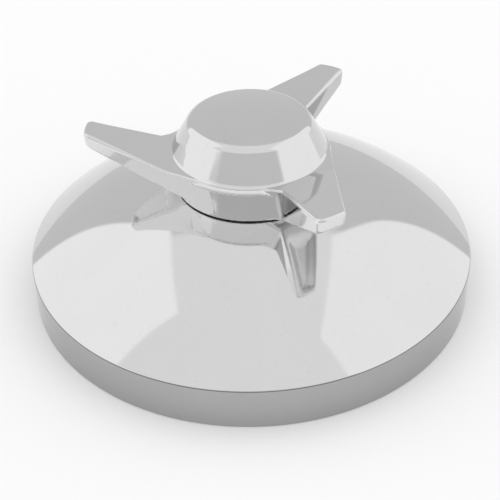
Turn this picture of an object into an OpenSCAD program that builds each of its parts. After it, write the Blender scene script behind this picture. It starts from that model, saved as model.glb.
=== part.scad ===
// Spinner hubcap for a steel wheel: a shallow polished dome with a straight, hemmed skirt, and a
// cast three-wing swept spinner fixed to the middle of the dome by three studs from behind.
// Millimetres. Z is up, the origin is the centre of the skirt's foot, and one wing points along -X.

/* [Cap shell] */
// Outside diameter over the skirt
cap_d = 217.5; // [196:0.5:250]
// Height of the straight skirt, from its foot to the edge of the dome
skirt_h = 20.5; // [14:0.5:30]
// Rise of the dome on the axis, before its crown is pressed flat
dome_rise = 36; // [28:0.5:44]
// Share of a parabola in the dome's curve: less of it flattens the middle and steepens the rim
dome_share = 0.45; // [0.2:0.05:0.8]
// Thickness of the sheet
sheet_t = 0.8; // [0.6:0.05:1.1]
// Outside radius of the bend between the dome and the skirt
bend_r = 1.3; // [1.3:0.1:4]
// Height of the hem folded up inside the skirt
hem_h = 6; // [3:0.5:10]
// Radius of the press mark where the flat seat runs out into the dome
seat_press_r = 6; // [2:0.5:12]

/* [Spinner hub] */
// Diameter of the hub at its foot
hub_foot_d = 72.4; // [68:0.2:74]
// Diameter of the hub at its ledge
hub_top_d = 76.6; // [75.6:0.2:80]
// Height of the hub from its foot to the ledge
hub_h = 18.7; // [15:0.1:23]
// Width of the ledge around the centre dome
ledge_w = 2.1; // [1.9:0.1:3.5]
// Rise of the centre dome above the ledge
centre_h = 17.9; // [14:0.1:24]
// Diameter of the centre dome at its shoulder, before the shoulder is rounded
shoulder_d = 57; // [50:0.5:62]
// Radius of the shoulder
shoulder_r = 5.5; // [3:0.5:7]
// Rise of the crown inside the shoulder
crown_h = 2.8; // [1.5:0.1:4]
// Wall of the cored casting
cast_wall = 3.2; // [2.4:0.1:3.6]
// Depth of the recess under a wing
recess_depth = 4; // [2:0.1:5]

/* [Wings] */
// Reach of a wing's leading tip corner from the axis
wing_reach = 78.2; // [72:0.2:86]
// Distance of the leading tip corner ahead of the wing's own centre line
tip_lead = 2.9; // [0:0.1:6]
// Width of the tip
tip_w = 14.7; // [12:0.1:17]
// Thickness of the tip
tip_t = 7.6; // [6:0.1:9]
// Rise of the tip's top above the ledge
wing_rise = 8.1; // [5:0.1:12]
// Distance from the axis at which the top starts to rise
ramp_start = 38; // [36:0.5:40]
// Distance from the axis to the notch on the trailing side
notch_reach = 42.6; // [41.6:0.1:46]
// Distance of the notch behind the wing's centre line
notch_back = 7.7; // [6:0.1:10]
// Radius along the wing's edges
edge_r = 1.5; // [0.8:0.1:2]
// Upright radius of the leading tip corner
lead_corner_r = 1.8; // [1:0.1:3]
// Upright radius of the trailing tip corner
trail_corner_r = 3; // [1:0.1:4]

/* [Fixing] */
// Thickness of the rubber gasket under the hub
gasket_t = 1; // [0.6:0.1:2]
// Distance of the gasket's edge inside the hub's foot
gasket_inset = 1; // [0.6:0.1:2]
// Diameter of the opening in the middle of the gasket
gasket_hole_d = 18; // [12:0.5:22]
// Thread diameter of the studs
stud_d = 5; // [4:0.5:6]
// Diameter of the circle through the studs
stud_circle_d = 40; // [37:0.5:42]
// Depth to which a stud is screwed into its boss
stud_grip = 10.5; // [8:0.5:12]
// Length of stud left below the nut
stud_tail = 1.5; // [1:0.1:4]
// Diameter of the bosses in the hub
boss_d = 12; // [11:0.5:13]
// Clearance of the studs in the sheet and the gasket, on the diameter
stud_clearance = 0.8; // [0.4:0.1:1.2]
// Thickness of a flat washer
washer_t = 1; // [0.8:0.1:1.6]
// Outside diameter of a flat washer
washer_d = 10; // [9:0.5:12]
// Thickness of a split lock washer
lock_t = 1.2; // [0.8:0.1:1.6]
// Height of a nut
nut_h = 4; // [3.2:0.1:5]
// Width of a nut across its flats
nut_af = 8; // [7.5:0.5:10]

/* [Hidden] */
$fn = 96;

// The wings point at 180, 60 and -60 degrees, and the studs lie between them.
WING_ANGLES = [180, 60, -60];
STUD_ANGLES = [0, 120, 240];

// Shell
cap_r = cap_d / 2;
dome_points = 30;
hub_foot_r = hub_foot_d / 2;
hub_top_r = hub_top_d / 2;
gasket_r = hub_foot_r - gasket_inset;
seat_r = gasket_r + 0.3;
rim_slope = -dome_slope(cap_r);
bend_turn = 90 - atan(rim_slope);
bend_start_r = cap_r - bend_r * (1 - cos(bend_turn));
bend_z = dome_z(bend_start_r) - bend_r * sin(bend_turn);
press_turn = atan(-dome_slope(seat_r));
press_end_r = seat_r + seat_press_r * sin(press_turn);
seat_z = dome_z(press_end_r) + seat_press_r * (1 - cos(press_turn));
fold_r = 0.6 * sheet_t;

// Spinner
foot_z = seat_z + gasket_t;
ledge_z = foot_z + hub_h;
apex_z = ledge_z + centre_h;
shoulder_z = apex_z - crown_h;
ceiling_z = shoulder_z - cast_wall;
centre_foot_r = hub_top_r - ledge_w;
centre_top_r = shoulder_d / 2;
hollow_r = hub_foot_r - cast_wall;
sink = 0.05;

// Fixing
stud_r = stud_d / 2;
stud_circle_r = stud_circle_d / 2;
stud_hole_r = stud_r + stud_clearance / 2;
under_seat_z = seat_z - sheet_t;
washer_z = under_seat_z - washer_t;
lock_z = washer_z - lock_t;
nut_z = lock_z - nut_h;
stud_end_z = nut_z - stud_tail;
stud_top_z = foot_z + stud_grip;

// Wing: tip corners, the point where the leading edge touches the hub, and the notch
lead_tip = [wing_reach, tip_lead];
trail_tip = [wing_reach, tip_lead - tip_w];
touch_angle = atan2(tip_lead, wing_reach) + acos(hub_top_r / norm(lead_tip));
lead_touch = hub_top_r * ray(touch_angle);
lead_run = unit(lead_tip - lead_touch);
ramp = wing_rise / (wing_reach - ramp_start);
tip_top_z = ledge_z + wing_rise;
tip_low_z = tip_top_z - tip_t;
wing_low_z = foot_z + 0.3;
root_top_z = ledge_z - sink;

// Corners of a wing's sections, each [leading top, trailing top, trailing foot, leading foot]
ROOT = [
    up(lead_touch, root_top_z), up([12, -12], root_top_z),
    up([12, -12], wing_low_z), up((hub_foot_r - 0.2) * ray(touch_angle), wing_low_z)
];
START = [
    on_lead(ramp_start, root_top_z), up((hub_top_r - 0.1) * ray(-19.6), root_top_z),
    up((hub_foot_r - 0.2) * ray(-17.2), wing_low_z), up((hub_foot_r + 0.2) * ray(31.5), wing_low_z)
];
TIP = [
    up(lead_tip, tip_top_z), up(trail_tip, tip_top_z),
    up(trail_tip + [-0.5, 0.3], tip_low_z), up(lead_tip + [-0.7, -0.4], tip_low_z)
];
NOTCH = [
    on_lead(notch_reach + 3.4, ledge_z + (notch_reach + 3.4 - ramp_start) * ramp),
    [notch_reach, -notch_back, ledge_z + (notch_reach - ramp_start) * ramp],
    [notch_reach - 3, 1.65 - notch_back, wing_low_z],
    mix(START[3], TIP[3], 0.18)
];
SPAN = norm(TIP[1] - NOTCH[1]);
// Distances of the sections from the tip: even along the wing, close where the tip is rounded
STATIONS = [0.8 * SPAN, 0.6 * SPAN, 0.4 * SPAN, 0.2 * SPAN, 3, 2.2, 1.5, 1, 0.6, 0.3, 0.1, 0];

function unit(v) = v / norm(v);
function ray(angle) = [cos(angle), sin(angle)];
function up(p, z) = [p.x, p.y, z];
function mix(a, b, share) = a + (b - a) * share;
function on_lead(x, z) =
    let (p = lead_touch + lead_run * (x - lead_touch.x) / lead_run.x) [p.x, p.y, z];

// Height of the dome's outside at radius r, and its slope there
function dome_z(r) =
    let (q = r / cap_r)
    skirt_h + dome_rise * (dome_share * (1 - q * q) + (1 - dome_share) * (1 - q * q * q));
function dome_slope(r) =
    let (q = r / cap_r)
    -dome_rise / cap_r * (2 * dome_share * q + 3 * (1 - dome_share) * q * q);

// Arc of n + 1 points that rounds the corner p between its neighbours a and b, in 2D or 3D
function turn(from, to, share) =
    let (angle = acos(unit(from) * unit(to)))
    (sin((1 - share) * angle) * from + sin(share * angle) * to) / sin(angle);
function corner(p, a, b, r, n) =
    let (u = unit(a - p), w = unit(b - p), half = acos(u * w) / 2)
    let (centre = p + unit(u + w) * r / sin(half))
    let (from = p + u * r / tan(half) - centre, to = p + w * r / tan(half) - centre)
    [for (k = [0 : n]) centre + turn(from, to, k / n)];
function rounded(points, radii, n) = [
    for (i = [0 : len(points) - 1])
        let (a = points[(i + len(points) - 1) % len(points)], b = points[(i + 1) % len(points)])
        each radii[i] == 0 ? [points[i]] : corner(points[i], a, b, radii[i], n)
];

// Outside of the sheet moved inwards by t along its normal, from the axis to the skirt
function sheet_line(t) = [
    [0, seat_z - t],
    for (k = [0 : 4])
        let (a = 90 - press_turn * k / 4)
        [seat_r, seat_z - seat_press_r] + (seat_press_r - t) * ray(a),
    for (k = [1 : dome_points - 1])
        let (r = mix(press_end_r, bend_start_r, k / dome_points))
        [r, dome_z(r)] - t * ray(90 + atan(dome_slope(r))),
    for (k = [0 : 6])
        let (a = bend_turn * (1 - k / 6))
        [cap_r - bend_r, bend_z] + (bend_r - t) * ray(a)
];
function reversed(list) = [for (i = [len(list) - 1 : -1 : 0]) list[i]];

// How far a rounding of radius r has drawn a side in, at distance d from the tip
function draw_in(d, r) = d >= r ? 0 : r - sqrt(r * r - (r - d) * (r - d));
function span_section(d) = [for (i = [0 : 3]) mix(TIP[i], NOTCH[i], d / SPAN)];
function tip_section(d) =
    let (s = span_section(d), across = unit(s[1] - s[0]))
    let (lead = across * draw_in(d, lead_corner_r), trail = across * draw_in(d, trail_corner_r))
    let (down = [0, 0, draw_in(d, edge_r)])
    [s[0] + lead - down, s[1] - trail - down, s[2] - trail + down, s[3] + lead + down];
// The recess under a wing: walls of cast_wall at its sides, recess_depth deep, and open below
function core_section(d) =
    let (s = span_section(d), wall = unit(s[2] - s[3]) * cast_wall)
    let (roof = [0, 0, recess_depth], drop = [0, 0, 8])
    [s[3] + wall + roof, s[2] - wall + roof, s[2] - wall - drop, s[3] + wall - drop];

// Solid through sections that have the same number of points, closed by a fan at each end
module skin(sections) {
    m = len(sections[0]);
    last = len(sections) - 1;
    ring = [for (s = sections) each s];
    points = concat(ring, [centroid(sections[0]), centroid(sections[last])]);
    sides = [
        for (i = [0 : last - 1], j = [0 : m - 1])
            let (k = (j + 1) % m)
            each [
                [i * m + j, (i + 1) * m + j, (i + 1) * m + k],
                [i * m + j, (i + 1) * m + k, i * m + k]
            ]
    ];
    root = [for (j = [0 : m - 1]) [len(ring), j, (j + 1) % m]];
    end = [for (j = [0 : m - 1]) [len(ring) + 1, last * m + (j + 1) % m, last * m + j]];
    polyhedron(points, concat(sides, root, end), convexity = 6);
}
function centroid(points) = [for (c = [0 : 2]) sum([for (p = points) p[c]]) / len(points)];
function sum(list, i = 0) = i < len(list) ? list[i] + sum(list, i + 1) : 0;

module wing() {
    corners = concat([ROOT, START, NOTCH], [for (d = STATIONS) tip_section(d)]);
    radii = [edge_r, edge_r, edge_r, edge_r];
    skin([for (s = corners) rounded(s, radii, 4)]);
}

module wing_core() {
    radii = [edge_r, edge_r, edge_r, edge_r];
    skin([for (share = [0.93, 0.7, 0.4, 0.12]) rounded(core_section(share * SPAN), radii, 3)]);
}

// Hub, ledge and centre dome turned as one outline
module hub_body() {
    crown = [
        for (k = [1 : 7])
            let (r = centre_top_r * (1 - k / 8))
            [r, apex_z - crown_h * pow(r / centre_top_r, 2)]
    ];
    outline = concat(
        [[0, foot_z], [hub_foot_r, foot_z], [hub_top_r, ledge_z], [centre_foot_r, ledge_z]],
        [[centre_top_r, shoulder_z]], crown, [[0, apex_z]]
    );
    radii = concat([0, 0.5, 1.1, 1.2, 0], [for (p = crown) 0], [0]);
    rotate_extrude() polygon(with_shoulder(rounded(outline, radii, 6)));
}
// The shoulder's sharp corner gives way to an arc tangent to the flank and to the crown's edge
function with_shoulder(line) =
    let (flank = [centre_foot_r, ledge_z] - [centre_top_r, shoulder_z])
    let (corner_at = [centre_top_r, shoulder_z])
    let (arc = corner(corner_at, corner_at + flank, crown_line(corner_at), shoulder_r, 8))
    [
        for (p = line)
            each p == corner_at ? arc
                : (p.y > shoulder_z && p.x > arc[8].x && p.x > 0 ? [] : [p])
    ];
// A point inwards along the crown's tangent at the shoulder
function crown_line(p) = p + [-10, 10 * 2 * crown_h / centre_top_r * 0.8];

module hub_hollow() {
    outline = [
        [0, foot_z - 1], [hollow_r, foot_z - 1], [hollow_r, ledge_z - cast_wall],
        [centre_top_r - cast_wall, ceiling_z], [0, ceiling_z]
    ];
    rotate_extrude() polygon(rounded(outline, [0, 0, 3, 3, 0], 4));
}

module at_studs() {
    for (a = STUD_ANGLES) rotate(a) translate([stud_circle_r, 0, 0]) children();
}

module at_stud(i) {
    rotate(STUD_ANGLES[i - 1]) translate([stud_circle_r, 0, 0]) children();
}

module stud() {
    translate([0, 0, stud_end_z + 0.5]) cylinder(r = stud_r, h = stud_top_z - stud_end_z - 0.5);
    translate([0, 0, stud_end_z]) cylinder(r1 = stud_r - 0.5, r2 = stud_r, h = 0.5);
}

module flat_washer() {
    translate([0, 0, washer_z]) difference() {
        cylinder(r = washer_d / 2, h = washer_t);
        translate([0, 0, -1]) cylinder(r = stud_r + 0.25, h = washer_t + 2);
    }
}

module lock_washer() {
    translate([0, 0, lock_z]) difference() {
        cylinder(r = stud_r + 2.1, h = lock_t);
        translate([0, 0, -1]) cylinder(r = stud_r + 0.15, h = lock_t + 2);
        translate([stud_r + 1, 0, lock_t / 2]) rotate([25, 0, 0]) cube([5, 0.6, 4], center = true);
    }
}

module hex_nut() {
    point_r = nut_af / 2 / cos(30);
    slope = (point_r - nut_af / 2) * tan(30);
    outline = [
        [stud_r, 0], [nut_af / 2, 0], [point_r + 0.05, slope + 0.03],
        [point_r + 0.05, nut_h - slope - 0.03], [nut_af / 2, nut_h], [stud_r, nut_h]
    ];
    translate([0, 0, nut_z]) intersection() {
        cylinder(r = point_r, h = nut_h, $fn = 6);
        rotate_extrude() polygon(outline);
    }
}

module cap_shell() {
    outer = sheet_line(0);
    inner = reversed(sheet_line(sheet_t));
    skirt = concat(
        corner([cap_r, 0], [cap_r, 5], [cap_r - 5, 0], fold_r, 4),
        corner([cap_r - 2 * sheet_t, 0], [cap_r, 0], [cap_r - 2 * sheet_t, 5], fold_r, 4),
        [[cap_r - 2 * sheet_t, hem_h], [cap_r - sheet_t, hem_h]]
    );
    color("gainsboro") difference() {
        rotate_extrude() polygon(concat(outer, skirt, inner));
        at_studs() translate([0, 0, seat_z - 5]) cylinder(r = stud_hole_r, h = 10);
    }
}

module spinner() {
    color("silver") {
        difference() {
            union() {
                hub_body();
                for (a = WING_ANGLES) rotate(a) wing();
            }
            hub_hollow();
            for (a = WING_ANGLES) rotate(a) wing_core();
        }
        at_studs() difference() {
            translate([0, 0, foot_z]) cylinder(r = boss_d / 2, h = ceiling_z + 1 - foot_z);
            translate([0, 0, foot_z - 1]) cylinder(r = stud_r, h = stud_grip + 3);
        }
    }
}

module seat_gasket() {
    color("black") translate([0, 0, seat_z]) difference() {
        cylinder(r = gasket_r, h = gasket_t);
        translate([0, 0, -1]) cylinder(d = gasket_hole_d, h = gasket_t + 2);
        at_studs() translate([0, 0, -1]) cylinder(r = stud_hole_r, h = gasket_t + 2);
    }
}

module stud_1() { color("darkgray") at_stud(1) stud(); }
module stud_2() { color("darkgray") at_stud(2) stud(); }
module stud_3() { color("darkgray") at_stud(3) stud(); }
module flat_washer_1() { color("lightgray") at_stud(1) flat_washer(); }
module flat_washer_2() { color("lightgray") at_stud(2) flat_washer(); }
module flat_washer_3() { color("lightgray") at_stud(3) flat_washer(); }
module lock_washer_1() { color("dimgray") at_stud(1) lock_washer(); }
module lock_washer_2() { color("dimgray") at_stud(2) lock_washer(); }
module lock_washer_3() { color("dimgray") at_stud(3) lock_washer(); }
module hex_nut_1() { color("lightsteelblue") at_stud(1) hex_nut(); }
module hex_nut_2() { color("lightsteelblue") at_stud(2) hex_nut(); }
module hex_nut_3() { color("lightsteelblue") at_stud(3) hex_nut(); }

cap_shell();
spinner();
seat_gasket();
stud_1();
stud_2();
stud_3();
flat_washer_1();
flat_washer_2();
flat_washer_3();
lock_washer_1();
lock_washer_2();
lock_washer_3();
hex_nut_1();
hex_nut_2();
hex_nut_3();
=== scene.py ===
"""Looks of a polished spinner hubcap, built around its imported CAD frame.

The shell and the cast spinner are rebuilt as finely curved meshes on the frame's own sizes, and the
gasket and the fixings keep their CAD solids under procedural finishes. Lengths in the shape classes
are millimetres and are turned into metres when a mesh is made.
"""

import logging
import math
from dataclasses import dataclass, field
from enum import Enum
from typing import Callable, Iterator, Sequence, Union

import bpy
import numpy as np
from mathutils import Matrix, Vector


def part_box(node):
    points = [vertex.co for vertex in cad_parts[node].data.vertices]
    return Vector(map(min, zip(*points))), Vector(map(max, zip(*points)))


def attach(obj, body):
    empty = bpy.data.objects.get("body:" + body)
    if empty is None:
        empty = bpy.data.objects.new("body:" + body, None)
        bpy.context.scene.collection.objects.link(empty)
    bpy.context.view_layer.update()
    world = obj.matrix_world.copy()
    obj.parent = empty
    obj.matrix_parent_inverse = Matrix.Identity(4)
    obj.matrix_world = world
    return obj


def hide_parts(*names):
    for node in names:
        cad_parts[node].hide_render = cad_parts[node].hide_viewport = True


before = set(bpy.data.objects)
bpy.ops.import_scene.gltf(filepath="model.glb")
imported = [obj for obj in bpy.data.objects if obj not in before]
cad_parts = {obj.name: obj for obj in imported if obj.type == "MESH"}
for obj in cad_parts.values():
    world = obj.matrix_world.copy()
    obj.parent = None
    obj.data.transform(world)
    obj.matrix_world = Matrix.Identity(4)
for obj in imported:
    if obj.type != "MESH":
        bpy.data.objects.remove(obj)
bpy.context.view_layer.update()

LOG = logging.getLogger("hubcap")
MM = 0.001
ROOT = "root"
ERF = np.vectorize(math.erf)

# Upward shares of a face's normal over which the painted light and shade in a finish's tone change: on steep
# faces, on the bend above them, and under the piece.
UPRIGHT_LIGHT_SPAN = (0.15, 0.38)
CREASE_SHADE_START, CREASE_SHADE_END = (0.16, 0.26), (0.46, 0.6)
BELOW_LIGHT_SPAN = (-0.8, -0.35)

# Corners of a cell of the surface net, rounds that draw its vertices on to the surface, and the
# reach in millimetres over which normals are measured.
CELL_CORNERS = [(a, b, c) for a in (0, 1) for b in (0, 1) for c in (0, 1)]
DRAW_ROUNDS = 3
NORMAL_REACH = 0.05

# Names of the casting's painted shares, shared by its mesh and its finish: where it is left as cast, and the
# factor of its painted light and shade.
CAST, SHADE = "cast", "shade"

Field = Callable[[np.ndarray], np.ndarray]
Value = Union[float, bpy.types.NodeSocket]


class Slot(Enum):
    """Material slots of the record that the scene's own pieces take."""

    SHELL = "shell_chrome"
    SPINNER = "spinner_chrome"


class Shader:
    """A small builder for node trees: each call adds a node and returns its output."""

    def __init__(self, tree: bpy.types.NodeTree) -> None:
        """Start on an empty tree.

        Args:
            tree: the node tree of a material or of the world.
        """
        self.tree = tree
        tree.nodes.clear()

    def add(self, kind: str, out: int | str = 0, **inputs: object) -> bpy.types.NodeSocket:
        """Add one node.

        Args:
            kind: the node's type, such as ShaderNodeMath.
            out: which output to return.
            **inputs: node properties, or input sockets named with a leading "i_" and an index or name.

        Returns:
            The node's chosen output socket.
        """
        node = self.tree.nodes.new(kind)
        sockets = {k: v for k, v in inputs.items() if k.startswith("i_")}
        for key, value in inputs.items():
            if key not in sockets:
                setattr(node, key, value)
        for key, value in sockets.items():
            name = key[2:].replace("_", " ")
            socket = node.inputs[int(name)] if name.isdigit() else node.inputs[name]
            if isinstance(value, bpy.types.NodeSocket):
                self.tree.links.new(value, socket)
            else:
                socket.default_value = value
        return node.outputs[out]

    def math(self, operation: str, *values: Value) -> bpy.types.NodeSocket:
        """Add a math node.

        Args:
            operation: the operation's name.
            *values: numbers or sockets, in order.

        Returns:
            The result's socket.
        """
        return self.add("ShaderNodeMath", operation=operation, **{f"i_{i}": v for i, v in enumerate(values)})

    def step(
        self, value: Value, low: float, high: float, start: float = 0.0, end: float = 1.0
    ) -> bpy.types.NodeSocket:
        """Map a value smoothly from one range to another.

        Args:
            value: the number or socket to map.
            low: value that gives start.
            high: value that gives end.
            start: result at low.
            end: result at high.

        Returns:
            The mapped value's socket.
        """
        return self.add(
            "ShaderNodeMapRange", interpolation_type="SMOOTHSTEP",
            i_0=value, i_1=low, i_2=high, i_3=start, i_4=end,
        )

    def mix(self, share: Value, first: Value, second: Value) -> bpy.types.NodeSocket:
        """Blend two numbers.

        Args:
            share: share of the second.
            first: the first number or socket.
            second: the second number or socket.

        Returns:
            The blend's socket.
        """
        return self.add("ShaderNodeMix", data_type="FLOAT", i_0=share, i_2=first, i_3=second)

    def noise(
        self, place: bpy.types.NodeSocket, scale: float, detail: float, roughness: float = 0.5
    ) -> bpy.types.NodeSocket:
        """Add a noise texture.

        Args:
            place: socket of the coordinates.
            scale: its scale.
            detail: its number of octaves.
            roughness: weight of the finer octaves.

        Returns:
            The noise's socket, from 0 to 1.
        """
        return self.add(
            "ShaderNodeTexNoise", i_Vector=place, i_Scale=scale, i_Detail=detail, i_Roughness=roughness
        )

    def painted(self, name: str) -> bpy.types.NodeSocket:
        """Read a number painted on the mesh.

        Args:
            name: the attribute's name.

        Returns:
            The number's socket.
        """
        return self.add("ShaderNodeAttribute", out="Fac", attribute_name=name)

    def grey(self, level: Value) -> bpy.types.NodeSocket:
        """Make a grey.

        Args:
            level: the grey's level.

        Returns:
            The colour's socket.
        """
        return self.add("ShaderNodeCombineColor", i_Red=level, i_Green=level, i_Blue=level)

    def finish(self, kind: str, shader: bpy.types.NodeSocket) -> None:
        """Join a shader to the tree's output.

        Args:
            kind: the output node's type.
            shader: the shader's socket.
        """
        node = self.tree.nodes.new(kind)
        self.tree.links.new(shader, node.inputs["Surface"])


def fresh_material(name: str) -> tuple[bpy.types.Material, Shader]:
    """Make an empty node material.

    Args:
        name: the material's name.

    Returns:
        The material and a builder for its tree.
    """
    material = bpy.data.materials.new(name)
    material.use_nodes = True
    return material, Shader(material.node_tree)


@dataclass(frozen=True)
class Metal:
    """A metal finish: polished, with a fine haze, hairlines and faint spots.

    The tone carries painted light and shade by a face's tilt: a factor on steep faces, a dark line on the
    bend above them, and a lighter tone under the piece and where it is left as cast, with its own roughness.
    """

    name: str
    tone: float
    roughness: float
    haze: float = 0.02
    grain: float = 0.0
    grain_scale: float = 900.0
    wave: float = 0.0
    wave_scale: float = 14.0
    warmth: float = 0.0
    # Painted light and shade: factors of the tone on steep faces and on the bend above them, and a lighter tone
    # with its roughness under the piece and where it is left as cast.
    upright_painted_light: float = 1.0
    crease_painted_shade: float = 1.0
    below_painted_light: float = 0.0
    below_roughness: float = 0.0
    cloud_scale: float = 38.0
    cloud_loss: float = 0.985
    speck_scale: float = 420.0
    speck_loss: float = 0.97
    wipe_scale: tuple[float, float, float] = (30.0, 900.0, 30.0)
    wipe: float = 0.0000015

    def build(self) -> bpy.types.Material:
        """Build the finish.

        Returns:
            The material.
        """
        material, s = fresh_material(self.name)
        place = s.add("ShaderNodeTexCoord", out="Object")
        cloud = s.noise(place, self.cloud_scale, 5.0, 0.6)
        speck = s.noise(place, self.speck_scale, 3.0)
        rough = s.step(cloud, 0.35, 0.7, self.roughness - self.haze / 2, self.roughness + self.haze / 2)
        rough = s.math("ADD", rough, s.step(speck, 0.62, 0.75, 0.0, self.haze))
        tint = s.step(cloud, 0.3, 0.7, self.tone * self.cloud_loss, self.tone)
        tint = s.math("MULTIPLY", tint, s.step(speck, 0.2, 0.45, self.speck_loss, 1.0))
        tint, rough = self.tilt(s, tint, rough)
        red = s.math("MULTIPLY", tint, 1.0 + self.warmth)
        blue = s.math("MULTIPLY", tint, 1.0 - self.warmth)
        shader = s.add(
            "ShaderNodeBsdfPrincipled",
            i_Base_Color=s.add("ShaderNodeCombineColor", i_Red=red, i_Green=tint, i_Blue=blue),
            i_Metallic=1.0, i_Roughness=rough, i_Normal=self.relief(s, place),
        )
        s.finish("ShaderNodeOutputMaterial", shader)
        return material

    def tilt(
        self, s: Shader, tint: bpy.types.NodeSocket, rough: bpy.types.NodeSocket
    ) -> tuple[bpy.types.NodeSocket, bpy.types.NodeSocket]:
        """Paint light and shade into the tone, and change the roughness, by a face's tilt and by what is
        painted on the mesh.

        Args:
            s: builder of the material's tree.
            tint: socket of the tone.
            rough: socket of the roughness.

        Returns:
            The changed tone and roughness.
        """
        facing = s.add("ShaderNodeSeparateXYZ", out=2, i_0=s.add("ShaderNodeNewGeometry", out="Normal"))
        # Painted light and shade: the tone on steep faces takes a factor that stands in for their reflections.
        tint = s.math("MULTIPLY", tint, s.step(facing, *UPRIGHT_LIGHT_SPAN, self.upright_painted_light, 1.0))
        # Painted shade: a dark line along the bend above the steep faces.
        if self.crease_painted_shade < 1.0:
            line = s.math("MULTIPLY", s.step(facing, *CREASE_SHADE_START), s.step(facing, *CREASE_SHADE_END, 1.0, 0.0))
            line = s.math("MULTIPLY_ADD", line, self.crease_painted_shade - 1.0, 1.0)
            tint = s.math("MULTIPLY", tint, line)
        # Painted light: a lighter tone under the piece and where it is left as cast, after the painted light
        # and shade painted on the mesh; the roughness there is the as-cast surface's own.
        if self.below_painted_light:
            below = s.math("MAXIMUM", s.step(facing, *BELOW_LIGHT_SPAN, 1.0, 0.0), s.painted(CAST))
            tint = s.math("MULTIPLY", tint, s.painted(SHADE))
            tint = s.mix(below, tint, self.below_painted_light)
            rough = s.mix(below, rough, self.below_roughness)
        return tint, rough

    def relief(self, s: Shader, place: bpy.types.NodeSocket) -> bpy.types.NodeSocket:
        """Make the finish's slight relief: a swell, a grain and the wheel's hairlines.

        Args:
            s: builder of the material's tree.
            place: socket of the coordinates.

        Returns:
            The normal's socket.
        """
        wipe_place = s.add("ShaderNodeMapping", i_Vector=place, i_Scale=self.wipe_scale)
        height = s.math("MULTIPLY", s.noise(place, self.wave_scale, 1.0), self.wave)
        height = s.math("ADD", height, s.math("MULTIPLY", s.noise(place, self.grain_scale, 4.0), self.grain))
        height = s.math("ADD", height, s.math("MULTIPLY", s.noise(wipe_place, 1.0, 2.0), self.wipe))
        return s.add("ShaderNodeBump", i_Height=height, i_Strength=1.0, i_Distance=1.0)


@dataclass(frozen=True)
class Rubber:
    """Black rubber with a fine cast grain and a patchy dusting."""

    name: str
    tone: float = 0.045
    dust_gain: float = 2.2
    smooth: float = 0.55
    dull: float = 0.8
    grain: float = 0.00006

    def build(self) -> bpy.types.Material:
        """Build the finish.

        Returns:
            The material.
        """
        material, s = fresh_material(self.name)
        place = s.add("ShaderNodeTexCoord", out="Object")
        grain = s.noise(place, 1400.0, 4.0)
        dust = s.noise(place, 120.0, 5.0)
        tone = s.step(dust, 0.45, 0.75, self.tone, self.tone * self.dust_gain)
        rough = s.step(dust, 0.3, 0.7, self.smooth, self.dull)
        height = s.math("MULTIPLY", grain, self.grain)
        bump = s.add("ShaderNodeBump", i_Height=height, i_Strength=0.6, i_Distance=1.0)
        shader = s.add(
            "ShaderNodeBsdfPrincipled", i_Base_Color=s.grey(tone), i_Roughness=rough, i_Normal=bump
        )
        s.finish("ShaderNodeOutputMaterial", shader)
        return material


def mesh_object(
    name: str, vertices: np.ndarray, faces: Sequence[Sequence[int]], normals: np.ndarray | None
) -> bpy.types.Object:
    """Make a smooth mesh object.

    Args:
        name: the object's name.
        vertices: points in metres.
        faces: index tuples.
        normals: one normal a vertex, or None for Blender's own.

    Returns:
        The new object, linked to the scene.
    """
    mesh = bpy.data.meshes.new(name)
    mesh.from_pydata(vertices.tolist(), [], faces if isinstance(faces, list) else faces.tolist())
    mesh.update()
    mesh.shade_smooth()
    if normals is not None:
        mesh.normals_split_custom_set_from_vertices(normals.tolist())
    thing = bpy.data.objects.new(name, mesh)
    bpy.context.scene.collection.objects.link(thing)
    return thing


def settle(piece: bpy.types.Object, slot: Slot, *nodes: str) -> None:
    """Fix a finished piece to the frame and report it.

    Args:
        piece: the visual piece.
        slot: the record's material slot.
        *nodes: CAD nodes that it stands for.
    """
    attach(piece, ROOT)
    if nodes:
        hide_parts(*nodes)
    LOG.info("%s: %d faces, slot %s", piece.name, len(piece.data.polygons), slot.value)


@dataclass
class Profile:
    """A line of points (r, z) with outward normals, drawn piece by piece."""

    points: list[tuple[float, float]] = field(default_factory=list)
    normals: list[tuple[float, float]] = field(default_factory=list)

    def put(self, r: float, z: float, out: tuple[float, float]) -> None:
        """Add one point.

        Args:
            r: distance from the axis.
            z: height.
            out: the outward normal.
        """
        self.points.append((r, z))
        self.normals.append(out)

    def arc(self, r: float, z: float, radius: float, angles: np.ndarray) -> None:
        """Add points on an arc.

        Args:
            r: the centre's distance from the axis.
            z: the centre's height.
            radius: the arc's radius.
            angles: angles from the outward direction, in radians.
        """
        for a in angles:
            out = (math.cos(a), math.sin(a))
            self.put(r + radius * out[0], z + radius * out[1], out)


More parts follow.
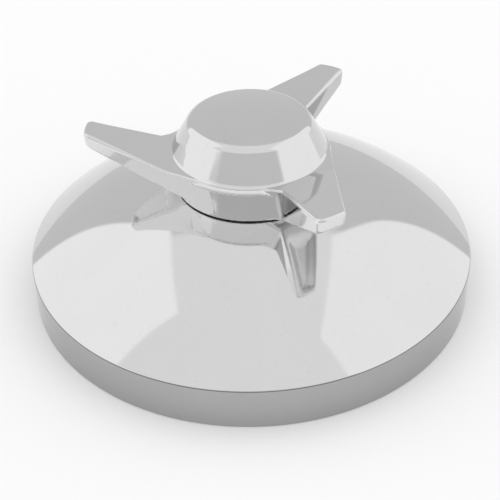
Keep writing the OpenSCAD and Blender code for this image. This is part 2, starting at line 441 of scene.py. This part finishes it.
@dataclass
class CapShell:
    """The pressed dome with its straight, hemmed skirt."""

    outer_r: float = 108.75
    skirt_h: float = 20.5
    dome_rise: float = 36.0
    dome_share: float = 0.45
    sheet: float = 0.8
    bend_r: float = 1.3
    hem_h: float = 6.0
    hem_fold: float = 0.6
    hem_lip: float = 0.3
    hem_bead: float = 0.1
    seat_r: float = 35.5
    press_r: float = 6.0
    roll_w: float = 6.0
    roll_slope: float = 0.17
    around: int = 288
    dome_steps: int = 64
    wall_steps: int = 10
    arc_steps: int = 7
    node: str = "cap_shell"
    # The shell's tone has painted shade: darker on the steep skirt, and a dark line along the bend at the
    # skirt's top.
    finish: Metal = Metal(
        "polished_shell", 0.62, 0.055, haze=0.02, wave=0.000006, wave_scale=22.0, upright_painted_light=0.71, crease_painted_shade=0.3
    )
    inner_finish: Metal = Metal("shell_inside", 0.42, 0.30, haze=0.10, grain=0.000004)

    def height(self, r: np.ndarray) -> np.ndarray:
        """Height of the dome's outside above the floor.

        Args:
            r: distances from the axis.

        Returns:
            The heights.
        """
        r = np.asarray(r)
        q = r / self.outer_r
        rise = self.dome_share * (1 - q**2) + (1 - self.dome_share) * (1 - q**3)
        share = (r - self.seat_r) / self.roll_w
        drop = self.roll_slope * self.roll_w * math.sqrt(math.pi) / 2 * ERF(np.maximum(share, 0))
        fade = np.clip((self.outer_r - r) / (self.outer_r - self.seat_r), 0, 1)
        return self.skirt_h + self.dome_rise * rise - drop * fade

    def fall(self, r: float) -> float:
        """Angle at which the dome's outside falls away from the axis.

        Args:
            r: distance from the axis.

        Returns:
            The angle in radians.
        """
        reach = 0.01
        return math.atan(float(self.height(r - reach) - self.height(r + reach)) / (2 * reach))

    def skin_line(self) -> Profile:
        """The outside from the seat's middle to the top of the skirt.

        Returns:
            The line.
        """
        just_outside = 0.05
        press = self.fall(self.seat_r + just_outside)
        press_end = self.seat_r + self.press_r * math.sin(press)
        seat_z = float(self.height(press_end)) + self.press_r * (1 - math.cos(press))
        bend = math.pi / 2 - self.fall(self.outer_r)
        bend_start = self.outer_r - self.bend_r * (1 - math.cos(bend))
        bend_z = float(self.height(bend_start)) - self.bend_r * math.sin(bend)
        skin = Profile()
        for r in np.linspace(0.0, self.seat_r, 6)[1:-1]:
            skin.put(r, seat_z, (0.0, 1.0))
        skin.arc(self.seat_r, seat_z - self.press_r, self.press_r, np.pi / 2 - press * np.linspace(0, 1, 6))
        for r in np.linspace(press_end, bend_start, self.dome_steps)[1:-1]:
            tilt = math.pi / 2 - self.fall(r)
            skin.put(r, float(self.height(r)), (math.cos(tilt), math.sin(tilt)))
        skin.arc(self.outer_r - self.bend_r, bend_z, self.bend_r, bend * np.linspace(1, 0, 10))
        return skin

    def outline(self) -> tuple[np.ndarray, np.ndarray, int]:
        """The whole cross-section, from the middle of the seat round the hem and back inside.

        Returns:
            Points (r, z), outward normals, and the index at which the inside starts.
        """
        line = self.skin_line()
        skin, up = np.array(line.points), np.array(line.normals)
        fold = self.hem_fold * self.sheet
        wall, lip = self.outer_r, self.hem_lip
        hem_r = wall - 2 * self.sheet
        for z in np.linspace(skin[-1][1], fold, self.wall_steps)[1:-1]:
            line.put(wall, z, (1.0, 0.0))
        line.arc(wall - fold, fold, fold, np.linspace(0, -np.pi / 2, self.arc_steps))
        line.arc(hem_r + fold, fold, fold, np.linspace(-np.pi / 2, -np.pi, self.arc_steps))
        turn = len(line.points)
        for z in np.linspace(fold, self.hem_h - lip, 4)[1:]:
            line.put(hem_r, z, (-1.0, 0.0))
        line.arc(hem_r + lip, self.hem_h - lip, lip, np.linspace(np.pi, np.pi / 2, 5)[1:])
        line.put(wall - self.sheet - self.hem_bead, self.hem_h - self.hem_bead / 2, (-0.5, 0.87))
        line.put(wall - self.sheet, self.hem_h + 1.5 * self.hem_bead, (-1.0, 0.0))
        points = np.concatenate([line.points, (skin - self.sheet * up)[::-1]])
        normals = np.concatenate([line.normals, -up[::-1]])
        return points, normals, turn

    def mesh(self) -> bpy.types.Object:
        """Turn the cross-section into the shell.

        Returns:
            The shell's object.
        """
        line, out, turn = self.outline()
        n, m = self.around, len(line)
        a = np.linspace(0, 2 * np.pi, n, endpoint=False)
        ring = np.stack([np.cos(a), np.sin(a)], 1)
        points, normals = (
            np.concatenate([pairs[:, None, :1] * ring[None], np.repeat(pairs[:, None, 1:], n, 1)], 2)
            for pairs in (line, out)
        )
        points, normals = points.reshape(-1, 3), normals.reshape(-1, 3)
        i, j = np.meshgrid(np.arange(m - 1), np.arange(n), indexing="ij")
        k = (j + 1) % n
        quads = np.stack([i * n + j, (i + 1) * n + j, (i + 1) * n + k, i * n + k], -1).reshape(-1, 4)
        total, last = len(points), (m - 1) * n
        vertices = np.concatenate([points, [[0, 0, line[0][1]], [0, 0, line[-1][1]]]]) * MM
        normals = np.concatenate([normals, [[0, 0, 1.0], [0, 0, -1.0]]])
        faces = quads.tolist()
        faces += [[total, q, (q + 1) % n] for q in range(n)]
        faces += [[total + 1, last + (q + 1) % n, last + q] for q in range(n)]
        shell = mesh_object("cap_shell_skin", vertices, faces, normals)
        shell.data.materials.append(self.finish.build())
        shell.data.materials.append(self.inner_finish.build())
        inside = np.zeros(len(faces), dtype=np.int32)
        inside[turn * n : len(quads)] = 1
        inside[len(quads) + n :] = 1
        shell.data.polygons.foreach_set("material_index", inside)
        settle(shell, Slot.SHELL, self.node)
        return shell


def round_max(a: np.ndarray, b: np.ndarray, r: float | np.ndarray) -> np.ndarray:
    """Intersection of two solids with a rounded edge.

    Args:
        a: signed distances to the first.
        b: signed distances to the second.
        r: radius of the edge.

    Returns:
        Signed distances to the result.
    """
    return np.minimum(-r, np.maximum(a, b)) + np.hypot(np.maximum(a + r, 0), np.maximum(b + r, 0))


def round_min(a: np.ndarray, b: np.ndarray, r: float | np.ndarray) -> np.ndarray:
    """Union of two solids with a fillet.

    Args:
        a: signed distances to the first.
        b: signed distances to the second.
        r: radius of the fillet.

    Returns:
        Signed distances to the result.
    """
    return -round_max(-a, -b, r)


def soft_min(a: np.ndarray, b: np.ndarray, width: float) -> np.ndarray:
    """Lower of two values, with the corner between them softened.

    Args:
        a: first values.
        b: second values.
        width: size of the softened zone.

    Returns:
        The softened lower values.
    """
    return (a + b - np.hypot(a - b, width)) / 2


def smooth_step(x: np.ndarray, low: float, high: float) -> np.ndarray:
    """Smooth rise from 0 at low to 1 at high.

    Args:
        x: values.
        low: where the rise starts.
        high: where it ends.

    Returns:
        Shares from 0 to 1.
    """
    t = np.clip((x - low) / (high - low), 0, 1)
    return t * t * (3 - 2 * t)


def soft_ramp(x: np.ndarray, width: float) -> np.ndarray:
    """The positive part of x with a softened start.

    Args:
        x: values.
        width: length over which the start is softened.

    Returns:
        The softened positive part.
    """
    return np.where(x > width, x, np.where(x < -width, 0, (x + width) ** 2 / (4 * width)))


def gradient(f: Field, points: np.ndarray, reach: float = 0.02) -> np.ndarray:
    """Direction in which a field grows, by central differences.

    Args:
        f: the field.
        points: places in millimetres.
        reach: half the distance between the two samples.

    Returns:
        One gradient a point.
    """
    result = np.empty_like(points)
    for axis in range(3):
        shift = np.zeros(3)
        shift[axis] = reach
        result[:, axis] = (f(points + shift) - f(points - shift)) / (2 * reach)
    return result


def sample(f: Field, axes: Sequence[np.ndarray]) -> np.ndarray:
    """Sample a field on a grid, one slab at a time.

    Args:
        f: the field.
        axes: the grid's coordinates along each axis.

    Returns:
        The grid of values.
    """
    values = np.empty([len(a) for a in axes])
    yy, zz = np.meshgrid(axes[1], axes[2], indexing="ij")
    for i, x in enumerate(axes[0]):
        slab = np.stack([np.full(yy.size, x), yy.ravel(), zz.ravel()], 1)
        values[i] = f(slab).reshape(yy.shape)
    return values


def corner_block(block: np.ndarray, corner: tuple[int, ...]) -> np.ndarray:
    """Part of a grid that holds one corner of each cell.

    Args:
        block: the grid.
        corner: the corner, with 0 or 1 for each axis.

    Returns:
        The part.
    """
    return block[tuple(slice(c, size - 1 + c) for c, size in zip(corner, block.shape))]


def crossing_middles(values: np.ndarray, cells: np.ndarray) -> np.ndarray:
    """Mean of the places where the surface crosses a cell's edges.

    Args:
        values: the sampled field.
        cells: indices of the cells that the surface crosses.

    Returns:
        One place a cell, in steps of the grid.
    """
    total, hits = np.zeros((len(cells), 3)), np.zeros(len(cells))
    for c0 in CELL_CORNERS:
        for axis in range(3):
            if c0[axis]:
                continue
            c1 = tuple(c0[k] + (k == axis) for k in range(3))
            v0, v1 = values[tuple((cells + c0).T)], values[tuple((cells + c1).T)]
            crossed = (v0 < 0) != (v1 < 0)
            share = np.where(crossed, v0 / np.where(crossed, v0 - v1, 1), 0)
            place = cells + np.array(c0) + share[:, None] * (np.arange(3) == axis)
            total += place * crossed[:, None]
            hits += crossed
    return total / hits[:, None]


def net_quads(solid: np.ndarray, index: np.ndarray) -> np.ndarray:
    """Join the vertices of the four cells around each crossed edge of the grid.

    Args:
        solid: whether each place of the grid is inside.
        index: the vertex of each cell.

    Returns:
        The quads, facing outwards.
    """
    shape = solid.shape
    quads = []
    for axis in range(3):
        b, c = (axis + 1) % 3, (axis + 2) % 3
        here = [slice(None)] * 3
        there = [slice(None)] * 3
        here[axis], there[axis] = slice(0, shape[axis] - 1), slice(1, shape[axis])
        edges = np.argwhere(solid[tuple(here)] != solid[tuple(there)])
        keep = (edges[:, b] > 0) & (edges[:, c] > 0)
        keep &= (edges[:, b] < shape[b] - 1) & (edges[:, c] < shape[c] - 1)
        edges = edges[keep]
        ring = []
        for db, dc in ((-1, -1), (0, -1), (0, 0), (-1, 0)):
            cell = edges.copy()
            cell[:, b] += db
            cell[:, c] += dc
            ring.append(index[tuple(cell.T)])
        ring = np.stack(ring, 1)
        flip = ~solid[tuple(edges.T)]
        ring[flip] = ring[flip][:, ::-1]
        quads.append(ring)
    return np.concatenate(quads)


def surface_net(f: Field, low: np.ndarray, high: np.ndarray, pitch: float) -> tuple[np.ndarray, ...]:
    """Mesh the surface where a field is 0, with each vertex drawn on to it.

    Args:
        f: the field.
        low: lowest corner of the searched box.
        high: highest corner.
        pitch: size of a cell.

    Returns:
        Vertices, quads and unit normals.
    """
    values = sample(f, [np.arange(low[i], high[i] + pitch, pitch) for i in range(3)])
    solid = values < 0
    count = sum(corner_block(solid, c).astype(np.int8) for c in CELL_CORNERS)
    cells = np.argwhere((count > 0) & (count < len(CELL_CORNERS)))
    index = np.full(count.shape, -1, dtype=np.int64)
    index[tuple(cells.T)] = np.arange(len(cells))
    points = low + crossing_middles(values, cells) * pitch
    for _ in range(DRAW_ROUNDS):
        slope = gradient(f, points)
        size = np.maximum((slope**2).sum(1), 0.1)
        points = points - np.clip(f(points) / size, -0.5 * pitch, 0.5 * pitch)[:, None] * slope
    slope = gradient(f, points, NORMAL_REACH)
    normals = slope / np.maximum(np.linalg.norm(slope, axis=1), 1e-9)[:, None]
    return points, net_quads(solid, index), normals


@dataclass(frozen=True)
class Corner:
    """Two straight edges that meet in a softened corner, seen from above with the tip along +X."""

    x: float
    y: float
    inner: float
    outer: float
    soft: float = 0.5

    def line(self, x: np.ndarray) -> np.ndarray:
        """Where the edges run.

        Args:
            x: distances along the wing.

        Returns:
            Distances towards the leading side.
        """
        x = x - self.x
        return soft_min(self.y + self.inner * x, self.y + self.outer * x, self.soft)


@dataclass(frozen=True)
class Wing:
    """One swept wing, in its own frame with the tip along +X and the leading side towards +Y."""

    foot_z: float
    ledge_z: float
    hub_r: float
    # The tip, and the rise of the wing's top towards it.
    reach: float = 78.2
    tip_lead: float = 2.9
    tip_w: float = 14.7
    tip_t: float = 7.6
    tip_bow: float = 0.7
    tip_lean: float = 0.07
    rise: float = 8.1
    rise_start: float = 38.0
    rise_soft: float = 2.5
    root: float = 6.0
    root_gap: float = 0.3
    # The leading face's lower edge, which bends at low_start.
    low_start: float = 31.0
    low_soft: float = 1.5
    low_lead: float = 19.2
    low_lead_slopes: tuple[float, float] = (0.91, 0.359)
    low_lead_most: float = 32.3
    low_reach: tuple[float, float] = (-0.7, 0.1)
    # The trailing face's upper and lower edges, each with its notch.
    notch: Corner = Corner(42.6, -7.7, 0.773, -0.1133)
    low_notch: Corner = Corner(39.6, -6.05, 0.895, -0.1408)
    # What turns differences of height or place into distances.
    lead_steepness: float = 1.19
    trail_steepness: float = 1.02
    upper_cosine: float = 0.985
    under_cosine: float = 0.92
    # Rounded edges, and the fillet at the hub.
    lead_round: float = 1.8
    trail_round: float = 3.0
    edge: float = 1.5
    fillet: tuple[float, float] = (0.3, 2.0)
    fillet_along: tuple[float, float] = (26.0, 34.0)
    fillet_across: tuple[float, float] = (-2.0, 6.0)
    # The hollow underneath.
    wall: float = 3.2
    recess: float = 4.0
    recess_middle: float = 59.5
    recess_half: float = 14.7
    recess_corner: float = 2.0
    recess_floor: float = 5.0
    # The cast surface round the hollow, and the painted light and shade on the trailing face: painted shade in
    # its corner by the notch, and a factor of painted light below.
    cast_span: tuple[float, float] = (0.6, 1.6)
    face_span: tuple[float, float] = (0.3, 0.7)
    face_start: tuple[float, float] = (40.5, 42.0)
    face_top: tuple[float, float] = (0.7, 1.6)
    face_foot: tuple[float, float] = (0.2, 0.8)
    corner_painted_shade: float = 0.46
    corner_start: tuple[float, float] = (41.85, 3.8)
    corner_rise: float = 0.9
    corner_blur: tuple[float, float] = (-0.6, 0.6)

    def sides(self, x: np.ndarray, y: np.ndarray, z: np.ndarray) -> dict[str, np.ndarray]:
        """Signed distances to the wing's faces.

        Args:
            x: distances along the wing.
            y: distances towards the leading side.
            z: heights.

        Returns:
            Distances to the leading, trailing, end, upper and lower faces.
        """
        low = self.foot_z + self.root_gap
        tip_z = self.ledge_z + self.rise
        far = math.hypot(self.reach, self.tip_lead)
        touch = math.atan2(self.tip_lead, self.reach) + math.acos(self.hub_r / far)
        tx, ty = self.hub_r * math.cos(touch), self.hub_r * math.sin(touch)
        lead_top = np.minimum(ty, ty - (ty - self.tip_lead) / (self.reach - tx) * (x - tx))
        inward, outward = self.low_lead_slopes
        beyond = x - self.low_start
        lead_low = self.low_lead - np.where(beyond < 0, inward, outward) * beyond
        lead_low = np.minimum(self.low_lead_most, lead_low)
        trail_top, trail_low = self.notch.line(x), self.low_notch.line(x)
        top = self.ledge_z + self.rise / (self.reach - self.rise_start) * soft_ramp(
            x - self.rise_start, self.rise_soft
        )
        low_lead, low_trail = (
            low + (tip_z - self.tip_t - low) / (self.reach + more - start) * soft_ramp(x - start, self.low_soft)
            for more, start in zip(self.low_reach, (self.low_start, self.low_notch.x))
        )
        share = np.clip((z - low_lead) / (top - low_lead), -0.3, 1.2)
        lead = y - lead_low - (lead_top - lead_low) * share
        lead = lead / np.sqrt(self.lead_steepness + ((lead_top - lead_low) / (top - low_lead)) ** 2)
        share = np.clip((z - low_trail) / (top - low_trail), -0.3, 1.2)
        trail = trail_low + (trail_top - trail_low) * share - y
        trail = trail / np.sqrt(self.trail_steepness + ((trail_top - trail_low) / (top - low_trail)) ** 2)
        half = self.tip_w / 2
        bow = self.tip_bow * (1 - ((y - self.tip_lead + half) / half) ** 2)
        end = x - (self.reach + bow - self.tip_lean * (tip_z - z))
        across = np.clip((y - trail_low) / (lead_low - trail_low), -0.2, 1.2)
        under = (low_trail + (low_lead - low_trail) * across - z) * self.under_cosine
        upper = (z - top) * self.upper_cosine
        return {"lead": lead, "trail": trail, "end": end, "upper": upper, "under": under}

    def solid(self, u: np.ndarray, faces: dict[str, np.ndarray]) -> np.ndarray:
        """Signed distances to the wing without its top.

        Args:
            u: distances along the wing.
            faces: distances to the wing's faces.

        Returns:
            One distance a point.
        """
        side = round_max(faces["lead"], faces["end"], self.lead_round)
        side = round_max(side, faces["trail"], self.trail_round)
        return round_max(np.maximum(side, self.root - u), faces["under"], self.edge)

    def root_fillet(self, u: np.ndarray, v: np.ndarray) -> np.ndarray:
        """Radius of the fillet between the wing and the hub, larger in the notch.

        Args:
            u: distances along the wing.
            v: distances towards the leading side.

        Returns:
            The radii.
        """
        small, large = self.fillet
        share = smooth_step(-v, *self.fillet_across) * smooth_step(u, *self.fillet_along)
        return small + (large - small) * share

    def pocket(self, u: np.ndarray, faces: dict[str, np.ndarray]) -> np.ndarray:
        """Signed distances to the hollow under the wing.

        Args:
            u: distances along the wing.
            faces: distances to the wing's faces.

        Returns:
            One distance a point.
        """
        pocket = round_max(faces["lead"] + self.wall, faces["trail"] + self.wall, self.recess_corner)
        pocket = round_max(pocket, np.abs(u - self.recess_middle) - self.recess_half, self.recess_corner)
        return round_max(pocket, -faces["under"] - self.under_cosine * self.recess, self.recess_floor)

    def cast_and_painted_light(
        self, u: np.ndarray, v: np.ndarray, z: np.ndarray, face_painted_light: float
    ) -> tuple[np.ndarray, np.ndarray]:
        """Where the wing is left as cast, and the painted light and shade on its trailing face.

        Args:
            u: distances along the wing.
            v: distances towards the leading side.
            z: heights.
            face_painted_light: factor of the painted light on the trailing face.

        Returns:
            Shares of cast surface, and changes of the tone's factor for painted light and shade.
        """
        faces = self.sides(u, v, z)
        cast = 1 - smooth_step(self.pocket(u, faces), *self.cast_span)
        # Painted shade on the trailing face above a line that rises from the notch, and the wing's factor of
        # painted light below it.
        start, above = self.corner_start
        line = self.foot_z + above + self.corner_rise * (u - start)
        dull = smooth_step(z - line, *self.corner_blur)
        trail = (1 - smooth_step(np.abs(faces["trail"]), *self.face_span)) * smooth_step(u, *self.face_start)
        trail = trail * smooth_step(-faces["upper"], *self.face_top)
        trail = trail * smooth_step(-faces["under"], *self.face_foot)
        return cast, trail * (face_painted_light - 1 - (face_painted_light - self.corner_painted_shade) * dull)


@dataclass
class Spinner:
    """The one-piece casting: hub, ledge, centre dome and three swept wings."""

    foot_z: float
    apex_z: float
    foot_r: float = 36.2
    foot_drop: float = 0.4
    foot_round: float = 0.4
    top_r: float = 38.3
    hub_h: float = 18.7
    ledge_w: float = 1.1
    ledge_round: float = 0.95
    tip_round: float = 2.2
    tip_round_span: tuple[float, float] = (42.0, 74.0)
    centre_h: float = 17.9
    centre_root: float = 3.0
    centre_fillet: float = 0.9
    shoulder_r: float = 28.7
    shoulder_round: float = 1.7
    crown_h: float = 2.9
    pocket_round: float = 2.8
    pitch: float = 0.62
    low: tuple[float, float] = (-81.0, -76.0)
    high: tuple[float, float] = (50.5, 75.5)
    margin: float = 1.4
    headings: tuple[float, ...] = (180.0, 60.0, -60.0)
    # Factors of painted light on each wing's trailing face: darker on the second wing and lighter on the third.
    trailing_painted_light: tuple[float, ...] = (1.0, 0.74, 1.22)
    node: str = "spinner"
    # The casting's tone has painted light: lighter on its steep faces, and a lighter tone under the wings and
    # in their as-cast hollows.
    finish: Metal = Metal(
        "polished_casting", 0.62, 0.075, haze=0.025, wave=0.00001, wave_scale=30.0, upright_painted_light=1.24,
        below_painted_light=0.92, below_roughness=0.34,
    )

    def __post_init__(self) -> None:
        """Set the wing on the hub."""
        self.ledge_z = self.foot_z + self.hub_h
        self.wing = Wing(self.foot_z, self.ledge_z, self.top_r)

    def wing_places(self, points: np.ndarray) -> Iterator[tuple[np.ndarray, np.ndarray]]:
        """Places in each wing's own frame, with the tip along +X.

        Args:
            points: places in millimetres.

        Yields:
            Distances along the wing and towards its leading side, one pair a wing.
        """
        x, y = points.T[:2]
        for heading in self.headings:
            c, s = math.cos(math.radians(heading)), math.sin(math.radians(heading))
            yield x * c + y * s, -x * s + y * c

    def centre(self, r: np.ndarray, z: np.ndarray) -> np.ndarray:
        """Signed distances to the domed centre, with its conical flank and its crown.

        Args:
            r: distances from the axis.
            z: heights.

        Returns:
            One distance a point.
        """
        foot_r = self.top_r - self.ledge_w
        draw = (foot_r - self.shoulder_r) / (self.centre_h - self.crown_h)
        flank = (r - foot_r + draw * (z - self.ledge_z)) / math.hypot(1, draw)
        crown = z - self.apex_z + self.crown_h * (r / self.shoulder_r) ** 2
        crown = crown / np.sqrt(1 + (2 * self.crown_h * r / self.shoulder_r**2) ** 2)
        return np.maximum(round_max(flank, crown, self.shoulder_round), self.ledge_z - self.centre_root - z)

    def distance(self, points: np.ndarray) -> np.ndarray:
        """Signed distances to the casting, less than 0 inside.

        Args:
            points: places in millimetres.

        Returns:
            One distance a point.
        """
        x, y, z = points.T
        r = np.hypot(x, y)
        grow = (self.top_r - self.foot_r) / self.hub_h
        hub = (r - self.foot_r - grow * (z - self.foot_z)) / math.hypot(1, grow)
        body = round_max(hub, self.foot_z - self.foot_drop - z, self.foot_round)
        upper = z - self.ledge_z
        hollows = []
        for u, v in self.wing_places(points):
            faces = self.wing.sides(u, v, z)
            body = round_min(body, self.wing.solid(u, faces), self.wing.root_fillet(u, v))
            upper = np.minimum(upper, faces["upper"])
            hollows.append(self.wing.pocket(u, faces))
        growth = (self.tip_round - self.ledge_round) * smooth_step(r, *self.tip_round_span)
        body = round_max(body, upper, self.ledge_round + growth)
        body = round_min(body, self.centre(r, z), self.centre_fillet)
        for pocket in hollows:
            body = round_max(body, -pocket, self.pocket_round)
        return body

    def cast_and_painted_light(self, points: np.ndarray) -> dict[str, np.ndarray]:
        """Where the casting is left rough, and the painted light and shade on the wings' trailing faces.

        Args:
            points: places on the surface in millimetres.

        Returns:
            Shares of cast surface, and factors of the tone for painted light and shade.
        """
        z = points[:, 2]
        cast, shade = np.zeros(len(z)), np.ones(len(z))
        for face_painted_light, (u, v) in zip(self.trailing_painted_light, self.wing_places(points)):
            rough, change = self.wing.cast_and_painted_light(u, v, z, face_painted_light)
            cast, shade = np.maximum(cast, rough), shade + change
        return {CAST: cast, SHADE: shade}

    def mesh(self) -> bpy.types.Object:
        """Mesh the casting.

        Returns:
            The spinner's object.
        """
        low = np.array([*self.low, self.foot_z - self.margin])
        high = np.array([*self.high, self.apex_z + self.margin])
        points, quads, normals = surface_net(self.distance, low, high, self.pitch)
        spinner = mesh_object("spinner_casting", points * MM, quads, normals)
        spinner.data.materials.append(self.finish.build())
        # The as-cast shares and the painted light and shade go on the mesh.
        for name, values in self.cast_and_painted_light(points).items():
            layer = spinner.data.attributes.new(name, "FLOAT", "POINT")
            layer.data.foreach_set("value", values.astype(np.float32))
        settle(spinner, Slot.SPINNER, self.node)
        return spinner


@dataclass
class Fixings:
    """The gasket and the studs, washers and nuts behind the dome, which keep their CAD solids."""

    gasket: Rubber = Rubber("gasket_rubber")
    stud: Metal = Metal("stud_zinc", 0.55, 0.32, haze=0.12, grain=0.000006, warmth=0.02)
    washer: Metal = Metal("washer_zinc", 0.60, 0.28, haze=0.12, grain=0.000006, warmth=0.01)
    lock: Metal = Metal("spring_steel", 0.34, 0.36, haze=0.12, grain=0.000008)
    nut: Metal = Metal("nut_zinc", 0.58, 0.30, haze=0.12, grain=0.000006, warmth=0.03)
    count: int = 3

    def dress(self) -> None:
        """Give each CAD node its finish."""
        self.paint(self.gasket.build(), ["seat_gasket"])
        finishes = {
            "stud": self.stud, "flat_washer": self.washer, "lock_washer": self.lock, "hex_nut": self.nut,
        }
        for stem, finish in finishes.items():
            self.paint(finish.build(), [f"{stem}_{i + 1}" for i in range(self.count)])

    @staticmethod
    def paint(material: bpy.types.Material, nodes: Sequence[str]) -> None:
        """Assign a material to CAD nodes.

        Args:
            material: the material.
            nodes: names of the nodes.
        """
        for name in nodes:
            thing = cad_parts[name]
            thing.data.materials.clear()
            thing.data.materials.append(material)
            LOG.info("%s: material %s", name, material.name)


def bearing(azimuth: float, elevation: float) -> Vector:
    """Unit vector of a direction.

    Args:
        azimuth: degrees from +Y towards +X.
        elevation: degrees above the horizon.

    Returns:
        The vector.
    """
    a, e = math.radians(azimuth), math.radians(elevation)
    return Vector((math.sin(a) * math.cos(e), math.cos(a) * math.cos(e), math.sin(e)))


@dataclass(frozen=True)
class Panel:
    """A light or dark field of the studio, bounded by straight edges, seen from the object.

    The corners are azimuths and elevations in degrees, and the level is the light's strength.
    """

    corners: tuple[tuple[float, float], ...]
    level: float
    soft: float = 0.03

    def mask(self, s: Shader, direction: bpy.types.NodeSocket) -> bpy.types.NodeSocket:
        """Build the field's mask.

        Args:
            s: builder of the world's tree.
            direction: socket of the direction looked along.

        Returns:
            Socket that is 1 inside the field and 0 outside.
        """
        ends = [bearing(*c) for c in self.corners]
        middle = sum(ends, Vector()).normalized()
        result = None
        for a, b in zip(ends, ends[1:] + ends[:1]):
            normal = a.cross(b).normalized()
            if normal.dot(middle) < 0:
                normal.negate()
            side = s.add(
                "ShaderNodeVectorMath", out="Value", operation="DOT_PRODUCT", i_0=direction, i_1=normal
            )
            inside = s.step(side, -self.soft, self.soft)
            result = inside if result is None else s.math("MULTIPLY", result, inside)
        return result


@dataclass
class Studio:
    """A light tent: pale floor and ceiling, grey walls in front and behind, bright panels at the sides."""

    ceiling: float = 1.06
    horizon: float = 0.80
    floor_half: float = 12.0
    floor_z: float = -0.0001
    floor_tone: float = 0.93
    floor_mottle: float = 0.004
    panels: tuple[Panel, ...] = (
        Panel(((-62, 36), (52, 40), (60, -12), (-70, -12)), 0.79, 0.04),
        Panel(((133, -12), (133, 32), (180, 42), (-133, 32), (-133, -12)), 0.80, 0.05),
        Panel(((-97.5, 66.3), (-30, 48.8), (-48.8, 7.5), (-55, -12), (-116, -12)), 1.26, 0.015),
        Panel(((-58, 28), (-60, -12), (-105, -12), (-122, 19), (-104, 32)), 1.26, 0.02),
        Panel(((-112, 17), (-120, 18), (-131, 22.5), (-118, 34), (-102, 32)), 1.26, 0.02),
        Panel(((121, 63.8), (32.5, 52.5), (37.5, 34), (47.5, 6.3), (53, -12), (134, -12)), 1.23, 0.015),
    )

    def light(self) -> None:
        """Build the tent as the world's light."""
        world = bpy.data.worlds.new("tent")
        bpy.context.scene.world = world
        world.use_nodes = True
        s = Shader(world.node_tree)
        direction = s.add("ShaderNodeTexCoord", out="Generated")
        height = s.add("ShaderNodeSeparateXYZ", out=2, i_0=direction)
        level = s.step(height, 0.0, 0.8, self.horizon, self.ceiling)
        for panel in self.panels:
            level = s.mix(panel.mask(s, direction), level, panel.level)
        background = s.add("ShaderNodeBackground", i_Color=s.grey(level), i_Strength=1.0)
        s.finish("ShaderNodeOutputWorld", background)

    def ground(self) -> bpy.types.Object:
        """Lay the floor.

        Returns:
            The floor's object.
        """
        half, z = self.floor_half, self.floor_z
        corners = np.array([[-half, -half, z], [half, -half, z], [half, half, z], [-half, half, z]])
        floor = mesh_object("floor", corners, [[0, 1, 2, 3]], None)
        material, s = fresh_material("floor_paper")
        mottle = s.noise(s.add("ShaderNodeTexCoord", out="Object"), 160.0, 3.0)
        tone = s.step(mottle, 0.3, 0.7, self.floor_tone - self.floor_mottle, self.floor_tone)
        s.finish("ShaderNodeOutputMaterial", s.add("ShaderNodeBsdfDiffuse", i_Color=s.grey(tone)))
        floor.data.materials.append(material)
        return floor


@dataclass
class Viewpoint:
    """The camera of the photograph."""

    place: tuple[float, float, float] = (0.00859, -0.40940, 0.32695)
    aim: tuple[float, float, float] = (0.00379, 0.02422, 0.05286)
    lens: float = 72.82
    sensor: float = 36.0
    roll: float = -0.761
    shift: tuple[float, float] = (-0.01664, -0.19165)

    def set(self) -> bpy.types.Object:
        """Make the camera the scene's own.

        Returns:
            The camera's object.
        """
        data = bpy.data.cameras.new("camera")
        data.lens, data.sensor_width = self.lens, self.sensor
        data.shift_x, data.shift_y = self.shift
        camera = bpy.data.objects.new("camera", data)
        bpy.context.scene.collection.objects.link(camera)
        look = (Vector(self.aim) - Vector(self.place)).to_track_quat("-Z", "Y").to_matrix().to_4x4()
        turn = Matrix.Rotation(math.radians(self.roll), 4, "Z")
        camera.matrix_world = Matrix.Translation(self.place) @ look @ turn
        bpy.context.scene.camera = camera
        return camera


def main() -> None:
    """Build the looks, the studio and the camera."""
    logging.basicConfig(level=logging.INFO, format="%(name)s: %(message)s")
    bpy.context.scene.view_settings.view_transform = "Standard"
    CapShell().mesh()
    low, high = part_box("spinner")
    Spinner(foot_z=low[2] / MM, apex_z=high[2] / MM).mesh()
    Fixings().dress()
    studio = Studio()
    studio.light()
    studio.ground()
    Viewpoint().set()


if __name__ == "__main__":
    main()
